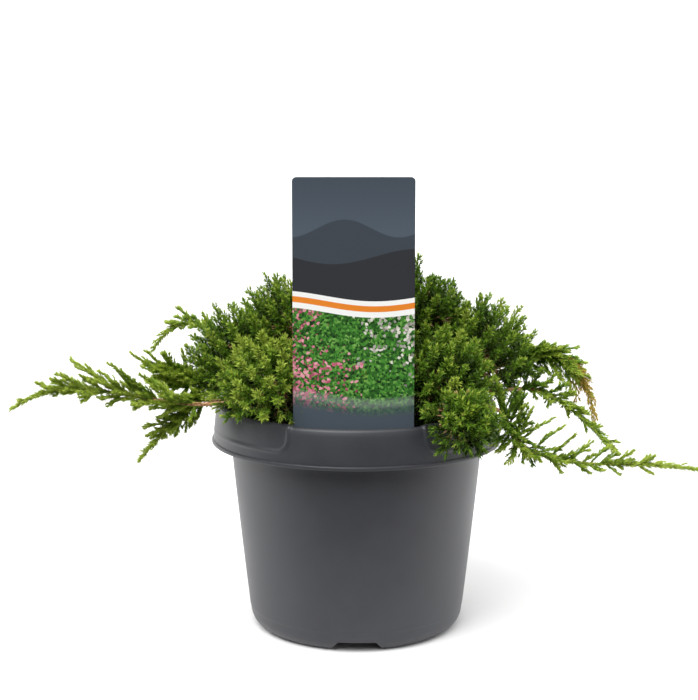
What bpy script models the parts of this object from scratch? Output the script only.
"""A japanese garden juniper, grown low and wide, in its round plastic nursery pot.

The trunk stands at the middle of the pot. Boughs leave it and end where they enter a mass of foliage.
Mounds of foliage make the cushion over the pot, and trails run out over the rim.
The frame is in metres, +Z up, with its origin under the pot's axis on the floor and the front at -Y.
"""

import math
import random

import bmesh
import bpy
from mathutils import Matrix, Vector

MM = 0.001

# The pot, a moulded 3 litre container
POT_HEIGHT = 150 * MM
LIP_RADIUS = 95.6 * MM
LIP_Z = 124 * MM
LIP_HEIGHT = 2.6 * MM
CREST_RADIUS = 90.5 * MM
BODY_TOP_RADIUS = 83.5 * MM
BASE_RADIUS = 69.7 * MM
BODY_BULGE = 0.4 * MM
FOOT_ROUND = 8.5 * MM
FOOT_ROUND_Z = 10 * MM
POT_WALL = 1.5 * MM
FOOT_WIDTH = 2.6 * MM
FLOOR_Z = 8 * MM
PAD_RADIUS = 15 * MM
POT_SIDES = 36
FRONT_DIP = 1.2 * MM
GRIP_FROM = 27
GRIP_Z = 133 * MM
GRIP_CORNER = 8 * MM
BEAD_RADIUS = 1.15 * MM
BEAD_SUNK = 0.3 * MM
NOTCH_COUNT = 4
NOTCH_FOOT = 34 * MM
NOTCH_TOP = 22 * MM
NOTCH_HEIGHT = 7 * MM
DRAIN_COUNT = 6
DRAIN_RADIUS = 4 * MM
DRAIN_CIRCLE = 46 * MM

# The potting soil and the plant label
GAP = 0.3 * MM
SOIL_TOP = 139 * MM
SOIL_RISE = 2 * MM
SOIL_RADIUS = 83.0 * MM
LABEL_WIDTH = 74.2 * MM
LABEL_TOP = 300 * MM
LABEL_SHOULDER = 146 * MM
LABEL_TONGUE = 24 * MM
LABEL_TONGUE_TOP = 140.5 * MM
LABEL_TIP = 106 * MM
LABEL_POINT = 12 * MM
LABEL_THICK = 0.6 * MM
LABEL_X = -2.1 * MM
LABEL_Y = -75 * MM
LABEL_CORNER = 2.6 * MM

# The trunk
TRUNK_FOOT = SOIL_TOP + SOIL_RISE + GAP
TRUNK_RADIUS = 8 * MM
FLARE_RADIUS = 12.5 * MM
FLARE_HEIGHT = 8 * MM
HEAD_RADIUS = 10 * MM
HEAD_Z = 163 * MM
TRUNK_LEAN = Vector((1.2 * MM, -0.8 * MM, 0))
FLUTES = 5

# The boughs
BOUGH_RADIUS = 2.2 * MM
LOW_BOUGH_Z = 150 * MM
TIP_RADIUS = 1.3 * MM
LOWER_CLIMB = 12
UPPER_CLIMB = 58

# Mounds: compass direction in degrees (0 is +X, 270 the front), then distance out, height of the
# middle, half-width and half-height, in mm, and the climb of the bough where it leaves the trunk
MOUNDS = {
    "foliage_top": (110, 6, 210, 38, 37, 90),
    "foliage_upper_left": (176, 44, 200, 38, 36, UPPER_CLIMB),
    "foliage_upper_right": (4, 46, 205, 38, 38, UPPER_CLIMB),
    "foliage_upper_back": (88, 44, 197, 38, 36, UPPER_CLIMB),
    "foliage_left": (188, 77, 179, 38, 38, LOWER_CLIMB),
    "foliage_right": (355, 79, 184, 40, 39, LOWER_CLIMB),
    "foliage_front_left": (226, 77, 170, 37, 33, LOWER_CLIMB),
    "foliage_front_right": (314, 72, 173, 36, 34, LOWER_CLIMB),
    "foliage_front": (270, 46, 183, 36, 40, LOWER_CLIMB),
    "foliage_back_left": (137, 75, 177, 38, 36, LOWER_CLIMB),
    "foliage_back_right": (42, 75, 178, 38, 36, LOWER_CLIMB),
    "foliage_back": (90, 77, 174, 37, 35, LOWER_CLIMB),
}

# Trails: four points of a smooth path from the bough's tip to the shoot's tip, in mm, then the
# longest side shoot and the number of side shoots
TRAILS = {
    "trail_left_long": (((-97, -52, 157), (-134, -60, 158), (-176, -70, 184), (-212, -72, 158)), 28, 18),
    "trail_left_low": (((-97, -32, 156), (-110, -37, 157), (-122, -44, 138), (-137, -50, 121)), 19, 9),
    "trail_left_fan": (((-101, -14, 163), (-110, -17, 168), (-122, -22, 172), (-135, -28, 178)), 26, 9),
    "trail_left_arch": (((-90, 47, 180), (-104, 51, 197), (-126, 60, 200), (-142, 62, 174)), 20, 12),
    "trail_right_arch": (((102, 8, 167), (112, 2, 188), (150, -4, 194), (155, -20, 140)), 28, 17),
    "trail_right_diagonal": (((104, -20, 161), (118, -18, 166), (146, -34, 146), (163, -52, 127)), 24, 13),
    "trail_right_long": (((90, -54, 153), (106, -60, 119), (164, -58, 128), (224, -72, 118)), 28, 19),
    "trail_back": (((-9, 99, 158), (-14, 124, 172), (-26, 156, 156), (-30, 186, 138)), 26, 13),
    "trail_back_right": (((70, 77, 161), (94, 96, 186), (124, 122, 176), (150, 142, 148)), 26, 13),
}

# The tuft that hangs over the rim: like a mound, on a bough of its own
TUFT = "foliage_rim_tuft"
MOUNDS[TUFT] = (306, 110, 157, 27, 27, 0)

# Boughs of the trails and the tuft: the limb that each leaves, and the share of its length
LOW_BOUGHS = {
    "trail_left_long": ("trunk", 0),
    "trail_left_low": ("trail_left_long", 0.50),
    "trail_left_fan": ("trail_left_long", 0.26),
    "trail_right_long": ("trunk", 0),
    TUFT: ("trail_right_long", 0.34),
    "trail_right_arch": ("trunk", 0),
    "trail_right_diagonal": ("trail_right_arch", 0.40),
    "trail_left_arch": ("trunk", 0),
    "trail_back": ("trunk", 0),
    "trail_back_right": ("trunk", 0),
}

# How foliage grows
CORE_SHARE = 0.58
CORE_DETAIL = 2
PLUME_REACH = (0.82, 1.04)
SHORT_REACH = (0.76, 0.92)
PLUME_EVERY = 5
ROOT_SHARE = 0.38
FOOT_SHARE = 0.72
MOUND_LIMIT = 1.16
SPACE_GAP = 0.4 * MM
TRAIL_ROOM = 8 * MM
TRAIL_BERTH = 11 * MM
LIMB_GAP = 0.5 * MM
RIM_INNER = 85.5 * MM
RIM_OUTER = 97.5 * MM
RIM_ROOM_Z = 152.0 * MM
SOIL_ROOM_Z = 143.0 * MM
LABEL_ROOM = Vector((38.6 * MM, -73.6 * MM, 0))
SPRAYS_A_MOUND = 2
SPRAY_LENGTH = 31 * MM
SPRAY_WIDTH = 6.0 * MM
SPRAY_ROOT = 0.6 * MM
SHOOT_WIDTH = 0.25
SMALL_SHOOT = 22 * MM
STEM_RADIUS = 1.6 * MM
STEM_RINGS = 8
STEM_GAP = 0.4 * MM
SIDE_ANGLE = 42
GOLDEN_ANGLE = math.pi * (3 - math.sqrt(5))

# Rings of a spray, as shares of its length and of its width. A wide ring is a whorl of needle tips,
# and the narrow ring after it is set back, so the teeth point forward.
SPRAY_RINGS = ((0.44, 1.0), (0.42, 0.38), (0.76, 0.62))
SHOOT_RINGS = ((0.52, 1.0), (0.49, 0.36))
PLUME_RINGS = ((0.50, 0.62), (0.47, 0.28))

COLOURS = {
    "pot_plastic": ((0.055, 0.058, 0.065), 0.45),
    "soil": ((0.035, 0.022, 0.014), 0.95),
    "label_card": ((0.045, 0.048, 0.055), 0.35),
    "bark": ((0.22, 0.12, 0.07), 0.85),
    "foliage": ((0.10, 0.20, 0.035), 0.6),
}


def material(name):
    """A plain Principled material in the colour and roughness of the real finish."""
    if name in bpy.data.materials:
        return bpy.data.materials[name]
    (red, green, blue), roughness = COLOURS[name]
    made = bpy.data.materials.new(name)
    made.use_nodes = True
    shader = made.node_tree.nodes["Principled BSDF"]
    shader.inputs["Base Color"].default_value = (red, green, blue, 1)
    shader.inputs["Roughness"].default_value = roughness
    shader.inputs["Metallic"].default_value = 0.0
    made.diffuse_color = (red, green, blue, 1)
    return made


def collection(name):
    made = bpy.data.collections.new(name)
    bpy.context.scene.collection.children.link(made)
    return made


def add_object(name, data, home, finish=None):
    made = bpy.data.objects.new(name, data)
    home.objects.link(made)
    if finish:
        data.materials.append(material(finish))
    return made


def as_cutter(piece):
    piece.hide_render = True
    piece.display_type = "WIRE"
    return piece


def apply_modifiers(piece):
    """Gives the object the mesh that its modifiers make."""
    graph = bpy.context.evaluated_depsgraph_get()
    made = bpy.data.meshes.new_from_object(piece.evaluated_get(graph))
    piece.modifiers.clear()
    old = piece.data
    piece.data = made
    bpy.data.meshes.remove(old)


def polar(turn, out, height=0.0):
    """The point at a compass direction in degrees, a distance from the axis and a height."""
    angle = math.radians(turn)
    return Vector((out * math.cos(angle), out * math.sin(angle), height))


# The pot


def body_radius(z):
    """The outer radius of the pot's wall at a height, with the corner rounded at its foot."""
    share = z / (LIP_Z + 4 * MM)
    bulge = 4 * BODY_BULGE * share * (1 - share)
    low = max(0, 1 - z / FOOT_ROUND_Z)
    corner = FOOT_ROUND * (1 - math.sqrt(1 - low * low))
    return BASE_RADIUS + (BODY_TOP_RADIUS - BASE_RADIUS) * share + bulge - corner


def collar_radius(z):
    """The outer radius of the collar, which flares a little from its crest to its lip."""
    share = (POT_HEIGHT - z) / (POT_HEIGHT - LIP_Z)
    return CREST_RADIUS + (LIP_RADIUS - 1.0 * MM - CREST_RADIUS) * share**0.4


def pot_profile():
    """Half the pot's section, from the middle of its floor round the wall to the middle of its underside."""
    body = [(body_radius(z * MM), z * MM) for z in (118, 73, 28, 9, 5, 2.2, 0.7, 0)]
    inner = [(r - POT_WALL, z) for r, z in reversed(body[:3])]
    ring_inside = body_radius(0) - FOOT_WIDTH
    floor_top = FLOOR_Z + POT_WALL
    neck_z = LIP_Z + 10 * MM
    neck = BODY_TOP_RADIUS
    points = [(0, floor_top), (body_radius(floor_top) - POT_WALL - 1 * MM, floor_top)]
    points += inner
    points += [(neck - POT_WALL, neck_z), (CREST_RADIUS - 4 * MM, POT_HEIGHT - 4 * MM)]
    points += [(CREST_RADIUS - 2.4 * MM, POT_HEIGHT - 0.8 * MM), (CREST_RADIUS - 0.9 * MM, POT_HEIGHT)]
    points += [(CREST_RADIUS + 0.8 * MM, POT_HEIGHT - 0.9 * MM)]
    points += [(collar_radius(z * MM), z * MM) for z in (146, 140, 132)]
    lip_top = LIP_Z + LIP_HEIGHT
    points += [(collar_radius(lip_top), lip_top), (LIP_RADIUS, lip_top - 0.4 * MM), (LIP_RADIUS, LIP_Z)]
    points += [(LIP_RADIUS - POT_WALL - 1 * MM, LIP_Z), (LIP_RADIUS - POT_WALL - 1 * MM, lip_top)]
    points += [(collar_radius(140 * MM) - POT_WALL, 140 * MM), (CREST_RADIUS - 1.0 * MM, POT_HEIGHT - 3 * MM)]
    points += [(neck + 0.4 * MM, neck_z)]
    points += body
    points += [(ring_inside, 0), (ring_inside, FLOOR_Z), (PAD_RADIUS, FLOOR_Z), (PAD_RADIUS, 0), (0, 0)]
    return points


def turned(name, profile, sides, home, finish):
    """A profile of (radius, height) points turned round the Z axis."""
    mesh = bpy.data.meshes.new(name)
    mesh.from_pydata([(r, 0, z) for r, z in profile], [(i, i + 1) for i in range(len(profile) - 1)], [])
    made = add_object(name, mesh, home, finish)
    screw = made.modifiers.new("Turn", "SCREW")
    screw.angle = 2 * math.pi
    screw.steps = screw.render_steps = sides
    screw.use_merge_vertices = True
    screw.merge_threshold = 0.00001
    apply_modifiers(made)
    clean = bmesh.new()
    clean.from_mesh(made.data)
    bmesh.ops.remove_doubles(clean, verts=clean.verts, dist=0.00001)
    clean.to_mesh(made.data)
    clean.free()
    return made


def off_front(x, y):
    """Degrees round the pot from the nearer of its front and its back."""
    return math.degrees(math.atan2(abs(x), abs(y)))


def dip_crest(pot):
    """Lowers the crest between the two grips, where the label stands."""
    for vertex in pot.data.vertices:
        if vertex.co.z < POT_HEIGHT - 5 * MM or off_front(vertex.co.x, vertex.co.y) > GRIP_FROM:
            continue
        vertex.co.z -= FRONT_DIP * (vertex.co.z - (POT_HEIGHT - 5 * MM)) / (5 * MM)


def bead_path(side):
    """The bead that frames one grip: down from the crest, along under it, and up again."""
    corner_turn = math.degrees(GRIP_CORNER / LIP_RADIUS)
    half = [(GRIP_FROM, POT_HEIGHT - 3.5 * MM), (GRIP_FROM, GRIP_Z + GRIP_CORNER)]
    for step in (45, 90):
        angle = math.radians(step)
        turn = GRIP_FROM + corner_turn * (1 - math.cos(angle))
        half.append((turn, GRIP_Z + GRIP_CORNER * (1 - math.sin(angle))))
    steps = 5
    first = half[-1][0]
    half += [(first + (90 - first) * (i + 1) / steps, GRIP_Z) for i in range(steps)]
    whole = half + [(180 - turn, z) for turn, z in reversed(half[:-1])]
    return [polar(270 + side * turn, collar_radius(z) - BEAD_SUNK, z) for turn, z in whole]


def tube_curve(name, points, radii, home, finish=None, resolution=1):
    """A tapering round limb, wire or bead along points, with flat ends."""
    curve = bpy.data.curves.new(name, "CURVE")
    curve.dimensions = "3D"
    curve.bevel_depth = 1.0
    curve.bevel_resolution = resolution
    curve.use_fill_caps = True
    spline = curve.splines.new("POLY")
    spline.points.add(len(points) - 1)
    for target, point, radius in zip(spline.points, points, radii):
        target.co = (*point, 1)
        target.radius = radius
    return add_object(name, curve, home, finish)


def tube_mesh(name, points, radii, home, resolution=1):
    """The same limb as a closed mesh, for joining to others or cutting them."""
    source = tube_curve(name + "_path", points, radii, home, resolution=resolution)
    graph = bpy.context.evaluated_depsgraph_get()
    mesh = bpy.data.meshes.new_from_object(source.evaluated_get(graph))
    made = add_object(name, mesh, home)
    bpy.data.objects.remove(source)
    weld = bmesh.new()
    weld.from_mesh(mesh)
    bmesh.ops.remove_doubles(weld, verts=weld.verts, dist=0.00001)
    bmesh.ops.recalc_face_normals(weld, faces=weld.faces)
    weld.to_mesh(mesh)
    weld.free()
    return made


def boolean(piece, operation, operand, solver="EXACT"):
    """Joins or cuts the piece with an object or with all of a collection, and applies the result."""
    step = piece.modifiers.new(operation.title(), "BOOLEAN")
    step.operation = operation
    step.solver = solver
    if isinstance(operand, bpy.types.Collection):
        step.operand_type = "COLLECTION"
        step.collection = operand
    else:
        step.object = operand
    apply_modifiers(piece)


def notch_cutter(index, home):
    """A block with sloping sides that cuts one drainage notch through the foot."""
    mesh = bpy.data.meshes.new("notch")
    shape = bmesh.new()
    bmesh.ops.create_cone(
        shape, cap_ends=True, segments=4, radius1=NOTCH_FOOT / math.sqrt(2), radius2=NOTCH_TOP / math.sqrt(2),
        depth=NOTCH_HEIGHT + 1 * MM, matrix=Matrix.Rotation(math.radians(45), 4, "Z"),
    )
    shape.to_mesh(mesh)
    shape.free()
    made = as_cutter(add_object(f"notch_{index}", mesh, home))
    turn = 360 * index / NOTCH_COUNT + 270
    made.location = polar(turn, BASE_RADIUS, (NOTCH_HEIGHT - 1 * MM) / 2)
    made.rotation_euler.z = math.radians(turn)
    return made


def drain_cutter(index, home):
    """A round hole through the floor."""
    mesh = bpy.data.meshes.new("drain")
    shape = bmesh.new()
    bmesh.ops.create_cone(shape, cap_ends=True, segments=8, radius1=DRAIN_RADIUS, radius2=DRAIN_RADIUS, depth=6 * MM)
    shape.to_mesh(mesh)
    shape.free()
    made = as_cutter(add_object(f"drain_{index}", mesh, home))
    made.location = polar(360 * (index + 0.5) / DRAIN_COUNT, DRAIN_CIRCLE, FLOOR_Z + POT_WALL / 2)
    return made


def build_pot(parts, cutters):
    pot = turned("pot", pot_profile(), POT_SIDES, parts, "pot_plastic")
    dip_crest(pot)
    tools = [notch_cutter(i, cutters) for i in range(NOTCH_COUNT)]
    tools += [drain_cutter(i, cutters) for i in range(DRAIN_COUNT)]
    bpy.context.view_layer.update()
    boolean(pot, "DIFFERENCE", cutters)
    for tool in tools:
        bpy.data.objects.remove(tool)
    for side in (-1, 1):
        path = bead_path(side)
        bead = as_cutter(tube_mesh(f"bead_{side}", path, [BEAD_RADIUS] * len(path), cutters, resolution=0))
        boolean(pot, "UNION", bead)
        bpy.data.objects.remove(bead)
    pot.data.shade_smooth()
    pot.data.set_sharp_from_angle(angle=math.radians(40))


# Soil and label


def build_soil(parts, cutters):
    """Potting soil that fills the pot, a little raised round the trunk, with a slot for the label."""
    wall = [(body_radius(z) - POT_WALL - GAP, z) for z in (x * MM for x in (28, 73, 118))]
    neck_z = LIP_Z + 10 * MM
    profile = [(0, SOIL_TOP + SOIL_RISE), (18 * MM, SOIL_TOP + SOIL_RISE), (50 * MM, SOIL_TOP + 1 * MM)]
    profile += [(SOIL_RADIUS, SOIL_TOP - 0.5 * MM), (BODY_TOP_RADIUS - POT_WALL - GAP, neck_z)]
    profile += reversed(wall)
    floor_z = FLOOR_Z + POT_WALL + GAP
    profile += [(body_radius(floor_z) - POT_WALL - 1.6 * MM, floor_z), (0, floor_z)]
    soil = turned("soil", profile, POT_SIDES, parts, "soil")
    slot = bpy.data.meshes.new("label_slot")
    shape = bmesh.new()
    bmesh.ops.create_cube(shape, size=1)
    shape.to_mesh(slot)
    shape.free()
    cutter = as_cutter(add_object("label_slot", slot, cutters))
    cutter.scale = (LABEL_TONGUE + 2 * GAP, LABEL_THICK + 2 * GAP, 80 * MM)
    cutter.location = (LABEL_X, LABEL_Y, LABEL_TIP - GAP + 40 * MM)
    bpy.context.view_layer.update()
    boolean(soil, "DIFFERENCE", cutter)
    bpy.data.objects.remove(cutter)


def label_outline():
    """Half the card's outline on its right side, from the top corner to the point of the tongue."""
    half = LABEL_WIDTH / 2
    outline = []
    for step in (0, 30, 60, 90):
        angle = math.radians(step)
        across = half - LABEL_CORNER * (1 - math.sin(angle))
        outline.append((across, LABEL_TOP - LABEL_CORNER * (1 - math.cos(angle))))
    tongue = LABEL_TONGUE / 2
    outline += [(half, LABEL_SHOULDER), (tongue, LABEL_TONGUE_TOP)]
    return outline + [(tongue, LABEL_TIP + LABEL_POINT), (0, LABEL_TIP)]


def build_label(parts):
    """The plant label, a stiff card that stands behind the front of the rim with its tongue in the soil."""
    right = label_outline()
    outline = right + [(-x, z) for x, z in reversed(right[:-1])]
    curve = bpy.data.curves.new("label", "CURVE")
    curve.dimensions = "2D"
    curve.fill_mode = "BOTH"
    curve.extrude = LABEL_THICK / 2
    spline = curve.splines.new("POLY")
    spline.points.add(len(outline) - 1)
    for target, (x, z) in zip(spline.points, outline):
        target.co = (x, z, 0, 1)
    spline.use_cyclic_u = True
    label = add_object("label", curve, parts, "label_card")
    label.rotation_euler.x = math.radians(90)
    label.location = (LABEL_X, LABEL_Y, 0)


# Trunk and boughs


def trunk_radius(height):
    """The trunk's radius at a height over its foot: flared below, with a rounded head where it forks."""
    flare = (FLARE_RADIUS - TRUNK_RADIUS) * max(0.0, 1 - height / FLARE_HEIGHT) ** 2
    return TRUNK_RADIUS + flare


def trunk_middle(z):
    """The trunk leans a little on its way up to the head."""
    share = (HEAD_Z - z) / (HEAD_Z - TRUNK_FOOT)
    return TRUNK_LEAN * share


def build_trunk(parts):
    """A short fluted trunk from a flat cut on the soil to the rounded head that the boughs leave."""
    profile = []
    for angle in (90, 56, 22, -12, -46):
        turn = math.radians(angle)
        profile.append((HEAD_RADIUS * math.cos(turn), HEAD_Z + HEAD_RADIUS * math.sin(turn)))
    profile[0] = (0, HEAD_Z + HEAD_RADIUS)
    for height in (9, 5, 2, 0):
        profile.append((trunk_radius(height * MM), TRUNK_FOOT + height * MM))
    profile.append((0, TRUNK_FOOT))
    trunk = turned("trunk", profile, 15, parts, "bark")
    for vertex in trunk.data.vertices:
        low = max(0.0, 1 - (vertex.co.z - TRUNK_FOOT) / (2 * FLARE_HEIGHT))
        fluting = 1 + 0.16 * low * math.cos(FLUTES * math.atan2(vertex.co.y, vertex.co.x))
        vertex.co.x *= fluting
        vertex.co.y *= fluting
        vertex.co += trunk_middle(vertex.co.z) if vertex.co.z < HEAD_Z else Vector()
    trunk.data.shade_smooth()


def bezier(ends, share):
    """A point on the smooth path that three or four points give."""
    row = list(ends)
    while len(row) > 1:
        row = [a.lerp(b, share) for a, b in zip(row, row[1:])]
    return row[0]


def mound_middle(name):
    turn, out, height, _, _, _ = MOUNDS[name]
    return polar(turn, out * MM, height * MM)


def mound_size(name):
    _, _, _, width, height, _ = MOUNDS[name]
    return Vector((width * MM, width * MM, height * MM))


HEAD = Vector((0, 0, HEAD_Z))


def mound_foot(name):
    """Where a mound's bough ends: on the line from the trunk's head, outside the mound's core."""
    middle = mound_middle(name)
    inward = (HEAD - middle) * (Vector((1, 1, 0)) if name == TUFT else Vector((1, 1, 1)))
    inward = inward.normalized() * mound_size(name).x
    share = FOOT_SHARE
    while not in_mound_space(middle + inward * share, name):
        share -= 0.02
    return middle + inward * share


def trail_path(name):
    return [Vector(point) * MM for point in TRAILS[name][0]]


def taper(start, end, count):
    return [start + (end - start) * i / (count - 1) for i in range(count)]


def head_bough(name):
    """A bough that leaves the trunk's head square and bends to the foot of its mound."""
    turn, _, _, _, _, climb = MOUNDS[name]
    direction = polar(turn, math.cos(math.radians(climb)), math.sin(math.radians(climb)))
    foot = mound_foot(name)
    start = HEAD + direction * (HEAD_RADIUS + GAP + 0.1 * MM)
    reach = (foot - start).length
    points = [bezier([start, start + direction * reach * 0.4, foot], share) for share in taper(0, 1, 5)]
    return points, taper(BOUGH_RADIUS, TIP_RADIUS, 5)


def low_bough(name, limbs):
    """A bough that runs low over the rim, from the trunk's flank or from another bough."""
    parent, share = LOW_BOUGHS[name]
    foot = mound_foot(name) if name == TUFT else trail_path(name)[0]
    heading = trail_path(name)[1] - foot if name in TRAILS else mound_middle(name) - foot
    heading = (heading * Vector((1, 1, 0.25))).normalized()
    if parent == "trunk":
        turn = math.degrees(math.atan2(foot.y, foot.x))
        outward = polar(turn, 1.0, 0.08).normalized()
        root = trunk_middle(LOW_BOUGH_Z) + Vector((0, 0, LOW_BOUGH_Z))
        start = root + outward * (TRUNK_RADIUS * 1.12 + GAP + 0.2 * MM)
        radius = BOUGH_RADIUS
    else:
        line, radii = limbs["bough_" + parent]
        place = share * (len(line) - 1)
        step = int(place)
        root = line[step].lerp(line[step + 1], place - step)
        along = (line[step + 1] - line[step]).normalized()
        outward = (foot - root).normalized()
        radius = radii[step] * 0.8
        cosine = abs(outward.dot(along))
        sine = math.sqrt(1 - cosine**2)
        start = root + outward * (radii[step] + GAP + 0.15 * MM + radius * cosine) / sine
    reach = (foot - start).length
    control = [start, start + outward * reach * 0.4, foot - heading * reach * 0.3, foot]
    count = 7 if parent == "trunk" else 5
    return [bezier(control, s) for s in taper(0, 1, count)], taper(radius, TIP_RADIUS, count)


def build_boughs(parts):
    """All boughs as {name: (points, radii)}, and the solids."""
    limbs = {}
    for name in MOUNDS:
        if name not in ("foliage_top", TUFT):
            limbs["bough_" + name] = head_bough(name)
    for name in LOW_BOUGHS:
        limbs["bough_" + name] = low_bough(name, limbs)
    for name, (points, radii) in limbs.items():
        tube_curve(name.replace("foliage_", ""), points, radii, parts, "bark")
    return limbs


# Foliage


def nearest_on(line, point):
    """Distance from a point to a line of points, and the share of the line where it is nearest."""
    best, place = 1e9, 0.0
    for i, (a, b) in enumerate(zip(line, line[1:])):
        run = b - a
        share = min(1.0, max(0.0, (point - a).dot(run) / run.length_squared))
        gap = (point - a - run * share).length
        if gap < best:
            best, place = gap, (i + share) / (len(line) - 1)
    return best, place


TRAIL_LINES = {name: [bezier(trail_path(name), s) for s in taper(0, 1, 13)] for name in TRAILS}


def power(point, name):
    """How far a point is from a mound, so that the smallest value says whose space it is in."""
    return (point - mound_middle(name)).length_squared - mound_size(name).x ** 2


def share_of(point, name):
    """1 on the mound's surface, less inside."""
    off = point - mound_middle(name)
    size = mound_size(name)
    return math.sqrt((off.x / size.x) ** 2 + (off.y / size.y) ** 2 + (off.z / size.z) ** 2)


def clear_of_pot(point):
    out = math.hypot(point.x, point.y)
    floor = SOIL_ROOM_Z if out < RIM_INNER else RIM_ROOM_Z if out < RIM_OUTER else -1.0
    at_label = abs(point.x - LABEL_X) < LABEL_ROOM.x and point.y < LABEL_ROOM.y
    return point.z > floor and not at_label


def in_mound_space(point, name):
    """Whether a point is in this mound's own space, clear of the other masses, the pot and the label."""
    if not clear_of_pot(point) or share_of(point, name) > MOUND_LIMIT:
        return False
    for other in MOUNDS:
        if other != name:
            apart = (mound_middle(name) - mound_middle(other)).length
            if power(point, other) - power(point, name) < 2 * SPACE_GAP * apart:
                return False
    return all(nearest_on(line, point)[0] > TRAIL_BERTH for line in TRAIL_LINES.values())


def in_trail_space(point, name):
    """Whether a point is in this trail's own space."""
    if not clear_of_pot(point):
        return False
    own = nearest_on(TRAIL_LINES[name], point)[0]
    for other, line in TRAIL_LINES.items():
        if other != name and nearest_on(line, point)[0] < own + 2 * SPACE_GAP:
            return False
    return own < TRAIL_ROOM - SPACE_GAP or all(share_of(point, mound) > MOUND_LIMIT + 0.02 for mound in MOUNDS)


def clear_of_limbs(point, reach, limbs):
    """Whether a ball round the point misses the trunk and every bough."""
    return all(nearest_on(line, point)[0] > radii[0] + reach + LIMB_GAP for line, radii in limbs.values())


def facing(direction, roll):
    """A matrix whose Z axis is the direction, turned about it by the roll."""
    turn = direction.to_track_quat("Z", "Y").to_matrix().to_4x4()
    return turn @ Matrix.Rotation(roll, 4, "Z")


def add_spray(points, faces, base, tip, width, rings):
    """Draws a spray of needles out of a triangle: whorls of teeth that point forward, then the tip."""
    root = sum((points[corner] for corner in base), Vector()) / 3
    axis = tip - root
    for along, wide in rings:
        middle = sum((points[corner] for corner in base), Vector()) / 3
        ring = []
        for third in range(3):
            side = points[base[third]].lerp(points[base[(third + 1) % 3]], 0.5) - middle
            side -= axis * side.dot(axis) / axis.length_squared
            ring.append(len(points))
            points.append(root + axis * along + side.normalized() * width * wide)
        for third in range(3):
            after = (third + 1) % 3
            faces += [(base[third], base[after], ring[third]), (base[after], ring[after], ring[third])]
        base = ring
    faces += [(base[third], base[(third + 1) % 3], len(points)) for third in range(3)]
    points.append(tip)


def closed_spray(root, tip, width, roll, rings):
    """The points and faces of a spray that starts as a small triangle at its root."""
    place = Matrix.Translation(root) @ facing((tip - root).normalized(), roll)
    angles = [math.radians(120 * third) for third in range(3)]
    points = [place @ Vector((SPRAY_ROOT * math.cos(a), SPRAY_ROOT * math.sin(a), 0)) for a in angles]
    faces = [(2, 1, 0)]
    add_spray(points, faces, (0, 1, 2), tip, width, rings)
    return points, faces


def mesh_of(points, faces):
    mesh = bpy.data.meshes.new("spray")
    mesh.from_pydata(points, [], faces)
    return mesh


def tip_of(bough):
    """The end of a bough and the way it points."""
    line, _ = bough
    return line[-1], (line[-1] - line[-2]).normalized()


def stem_points(stations):
    """The points and faces of a three-sided stem through stations of middle, direction and radius."""
    points, faces = [], [(2, 1, 0)]
    for index, (middle, ahead, radius) in enumerate(stations):
        across = ahead.cross(Vector((0, 0, 1))).normalized()
        lift = ahead.cross(across)
        for third in range(3):
            angle = math.radians(120 * third)
            points.append(middle + (across * math.cos(angle) + lift * math.sin(angle)) * radius)
        if index:
            a, b = 3 * index - 3, 3 * index
            for third in range(3):
                after = (third + 1) % 3
                faces += [(a + third, a + after, b + third), (a + after, b + after, b + third)]
    return points, faces


def drawn_in(middle, ray, name, limbs):
    """The point at the end of the ray, or nearer where it would leave the mound's space or meet a bough."""
    share = 1.0
    while share > 0.1:
        point = middle + ray * share
        if in_mound_space(point, name) and clear_of_limbs(point, 0, limbs):
            return point
        share -= 0.04
    return middle + ray * share


def core_mesh(name, limbs):
    """A mound's core: a rough ball at part of its size, with each free face drawn out into a plume."""
    middle, size, foot = mound_middle(name), mound_size(name), mound_foot(name)
    ball = bmesh.new()
    bmesh.ops.create_icosphere(ball, subdivisions=CORE_DETAIL, radius=1)
    units = [vertex.co.copy() for vertex in ball.verts]
    sides = [tuple(vertex.index for vertex in face.verts) for face in ball.faces]
    ball.free()
    rng = random.Random(name + "core")
    points = [drawn_in(middle, unit * size * CORE_SHARE * rng.uniform(0.88, 1.10), name, limbs) for unit in units]
    faces = []
    for index, side in enumerate(sides):
        unit = sum((units[corner] for corner in side), Vector()).normalized()
        out = ((middle + unit * size - foot).normalized() * 0.35 + unit + Vector((0, 0, 0.12))).normalized()
        toothed = index % PLUME_EVERY == 0
        reach = rng.uniform(*(PLUME_REACH if toothed else SHORT_REACH))
        tip = drawn_in(middle, out * size * reach, name, limbs)
        if share_of(tip, name) < CORE_SHARE * 1.1:
            faces.append(side)
        elif toothed and share_of(tip, name) > CORE_SHARE * 1.35:
            add_spray(points, faces, side, tip, SPRAY_WIDTH, PLUME_RINGS)
        else:
            add_spray(points, faces, side, tip, SPRAY_WIDTH, ())
    return mesh_of(points, faces)


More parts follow.
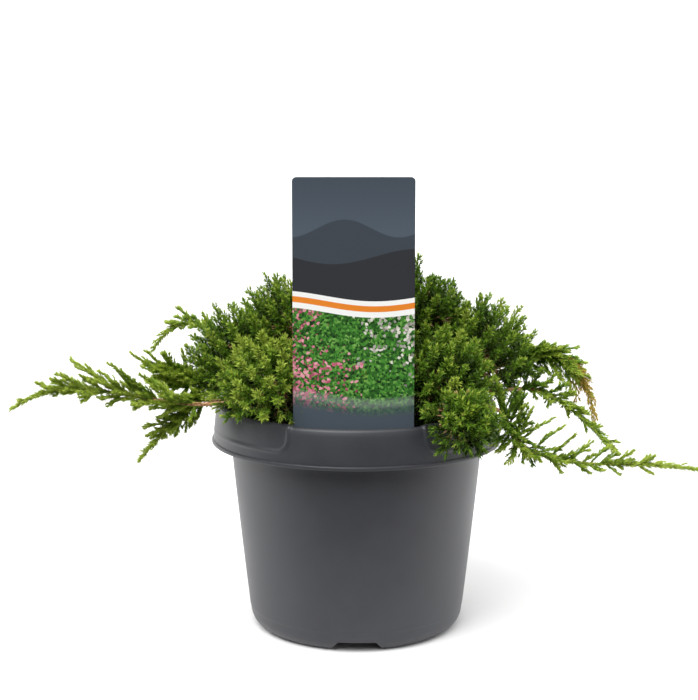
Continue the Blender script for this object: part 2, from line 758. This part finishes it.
def mound_spray(name, unit, rng, limbs):
    """The longest spray that fits from the core towards a point on the mound's surface, if any does."""
    middle, size, foot = mound_middle(name), mound_size(name), mound_foot(name)
    scale, lift, roll = rng.uniform(0.85, 1.15), rng.uniform(0.92, 1.08), rng.uniform(0, 2 * math.pi)
    for reach in (1.04, 0.90, 0.76):
        target = middle + unit * size * reach * lift
        heading = ((target - foot).normalized() + unit * 0.5 + Vector((0, 0, 0.35))).normalized()
        root = target - heading * SPRAY_LENGTH * scale * size.x / (37 * MM)
        if share_of(root, name) > ROOT_SHARE:
            root = target.lerp(middle, 1 - ROOT_SHARE / share_of(target, name))
        width = SPRAY_WIDTH * scale
        points, faces = closed_spray(root, target, width, roll, SPRAY_RINGS)
        if all(in_mound_space(point, name) for point in points):
            if all(clear_of_limbs(root.lerp(target, s), width * 0.8, limbs) for s in (0.3, 0.5, 0.7, 0.9)):
                return mesh_of(points, faces)
    return None


def mound_sprays(name, limbs):
    """Evenly spread sprays all over the free sides of the mound, from its top down."""
    for count in range(4, 60):
        rng = random.Random(name)
        made = []
        for index in range(count):
            z = 1 - 2 * (index + 0.5) / count
            angle, ring = GOLDEN_ANGLE * index, math.sqrt(1 - z * z)
            unit = Vector((ring * math.cos(angle), ring * math.sin(angle), z))
            spray = mound_spray(name, unit, rng, limbs)
            if spray:
                made.append(spray)
        if len(made) >= SPRAYS_A_MOUND:
            break
    return made[:SPRAYS_A_MOUND]


def grow_mound(name, limbs, pieces):
    """The stem, core and sprays of one mound."""
    middle = mound_middle(name)
    if name == "foliage_top":
        start, ahead = HEAD + Vector((0, 0, HEAD_RADIUS)), Vector((0.01, 0, 1)).normalized()
    else:
        start, ahead = tip_of(limbs["bough_" + name])
    first = (start + ahead * STEM_GAP, ahead, STEM_RADIUS)
    points, faces = stem_points([first, (middle, (middle - start).normalized(), STEM_RADIUS)])
    faces.append((3, 4, 5))
    join_mass(name, [core_mesh(name, limbs), mesh_of(points, faces), *mound_sprays(name, limbs)], limbs, pieces)


def side_length(place, longest):
    """Side shoots are longest a third of the way along a trail and short at its tip."""
    swell = math.sin(math.pi * min(1.0, 0.18 + 0.82 * place) ** 0.8)
    return longest * (0.36 + 0.64 * swell)


def trail_shoots(name):
    """Side shoots of a trail: where each leaves, where it ends, and its turn about itself."""
    _, longest, count = TRAILS[name]
    rng = random.Random(name)
    path = trail_path(name)
    for index in range(count):
        place = (index + 0.6) / (count + 1.2)
        root = bezier(path, place)
        along = (bezier(path, place + 0.02) - bezier(path, place - 0.02)).normalized()
        across = along.cross(Vector((0, 0, 1))).normalized()
        lift = across.cross(along).normalized()
        turn = math.radians((20, 160, 75, 200, 340, 110)[index % 6] + rng.uniform(-15, 15))
        side = across * math.cos(turn) + lift * math.sin(turn)
        lean = math.radians(SIDE_ANGLE + rng.uniform(-8, 8))
        heading = along * math.cos(lean) + side * math.sin(lean)
        length = side_length(place, longest * MM) * rng.uniform(0.85, 1.15)
        yield root, root + heading * length, rng.uniform(0, 2 * math.pi)


def trail_spray(name, root, tip, roll, limbs):
    """The longest spray that fits from the trail's stem along a side shoot, if any does."""
    for share in (1.0, 0.82, 0.64):
        end = root.lerp(tip, share)
        length = (end - root).length
        width = min(SPRAY_WIDTH, SHOOT_WIDTH * length)
        rings = SPRAY_RINGS if length > SMALL_SHOOT else SHOOT_RINGS
        points, faces = closed_spray(root, end, width, roll, rings)
        along = [root.lerp(end, s) for s in (0.2, 0.4, 0.6, 0.8)]
        if all(in_trail_space(point, name) for point in points + along):
            if all(clear_of_limbs(root.lerp(end, s), width * 0.8, limbs) for s in (0.3, 0.5, 0.7, 0.9)):
                return mesh_of(points, faces)
    return None


def trail_stem(name, bough):
    """A trail's stem, from its bough's tip along its path, that ends in a spray of its own."""
    path = trail_path(name)
    start, ahead = tip_of(bough)
    stations = [(start + ahead * STEM_GAP, ahead, STEM_RADIUS)]
    for index in range(1, STEM_RINGS):
        place = 0.92 * index / (STEM_RINGS - 1)
        ahead = (bezier(path, place + 0.01) - bezier(path, place - 0.01)).normalized()
        stations.append((bezier(path, place), ahead, STEM_RADIUS * (1 - 0.5 * place)))
    points, faces = stem_points(stations)
    last = len(points) - 3
    add_spray(points, faces, (last, last + 1, last + 2), path[-1], SPRAY_WIDTH * 0.7, SHOOT_RINGS)
    return mesh_of(points, faces)


def grow_trail(name, limbs, pieces):
    """The stem of one trail with its side sprays."""
    sprays = [trail_spray(name, root, tip, roll, limbs) for root, tip, roll in trail_shoots(name)]
    stem = trail_stem(name, limbs["bough_" + name])
    join_mass(name, [stem, *(spray for spray in sprays if spray)], limbs, pieces)


def largest_body(piece):
    """Drops loose scraps, so that the mass is one body."""
    shape = bmesh.new()
    shape.from_mesh(piece.data)
    left, bodies = set(shape.verts), []
    while left:
        body, edge = set(), [left.pop()]
        while edge:
            vertex = edge.pop()
            body.add(vertex)
            near = [e.other_vert(vertex) for e in vertex.link_edges]
            edge += [v for v in near if v in left]
            left.difference_update(near)
        bodies.append(body)
    bodies.sort(key=len)
    for body in bodies[:-1]:
        bmesh.ops.delete(shape, geom=list(body), context="VERTS")
    bmesh.ops.triangulate(shape, faces=shape.faces)
    shape.to_mesh(piece.data)
    shape.free()


def join_mass(name, meshes, limbs, pieces):
    """One Boolean union of a mass's pieces, then a cut that keeps it clear of the boughs that pass by."""
    work = collection(name + "_pieces")
    first = add_object(name, meshes[0], pieces, "foliage")
    for index, mesh in enumerate(meshes[1:]):
        as_cutter(add_object(f"{name}_piece_{index}", mesh, work))
    bpy.context.view_layer.update()
    boolean(first, "UNION", work, "MANIFOLD")
    for piece in list(work.objects):
        bpy.data.objects.remove(piece)
    low = Vector(map(min, *(v.co for v in first.data.vertices)))
    high = Vector(map(max, *(v.co for v in first.data.vertices)))
    for limb, (points, radii) in limbs.items():
        steps = [a.lerp(b, s) for a, b in zip(points, points[1:]) for s in (0, 0.25, 0.5, 0.75, 1)]
        near = any(all(low[k] - 4 * MM < p[k] < high[k] + 4 * MM for k in range(3)) for p in steps)
        if near and limb != "trunk":
            wide = [(radius + GAP + 0.1 * MM) * math.sqrt(2) for radius in radii]
            before = points[0] + (points[0] - points[1]).normalized() * GAP
            beyond = points[-1] + (points[-1] - points[-2]).normalized() * GAP
            line = [before, *points[1:-1], beyond]
            as_cutter(tube_mesh("clear_" + limb, line, wide, work, resolution=0))
    if work.objects:
        bpy.context.view_layer.update()
        boolean(first, "DIFFERENCE", work, "MANIFOLD")
        for piece in list(work.objects):
            bpy.data.objects.remove(piece)
    bpy.data.collections.remove(work)
    largest_body(first)


def main():
    for old in list(bpy.data.objects):
        bpy.data.objects.remove(old)
    parts, cutters = collection("garden_juniper"), collection("cutters")
    build_pot(parts, cutters)
    build_soil(parts, cutters)
    build_label(parts)
    build_trunk(parts)
    limbs = build_boughs(parts)
    limbs["trunk"] = ([Vector((0, 0, TRUNK_FOOT)), HEAD], [FLARE_RADIUS])
    for name in MOUNDS:
        grow_mound(name, limbs, parts)
    for name in TRAILS:
        grow_trail(name, limbs, parts)


main()
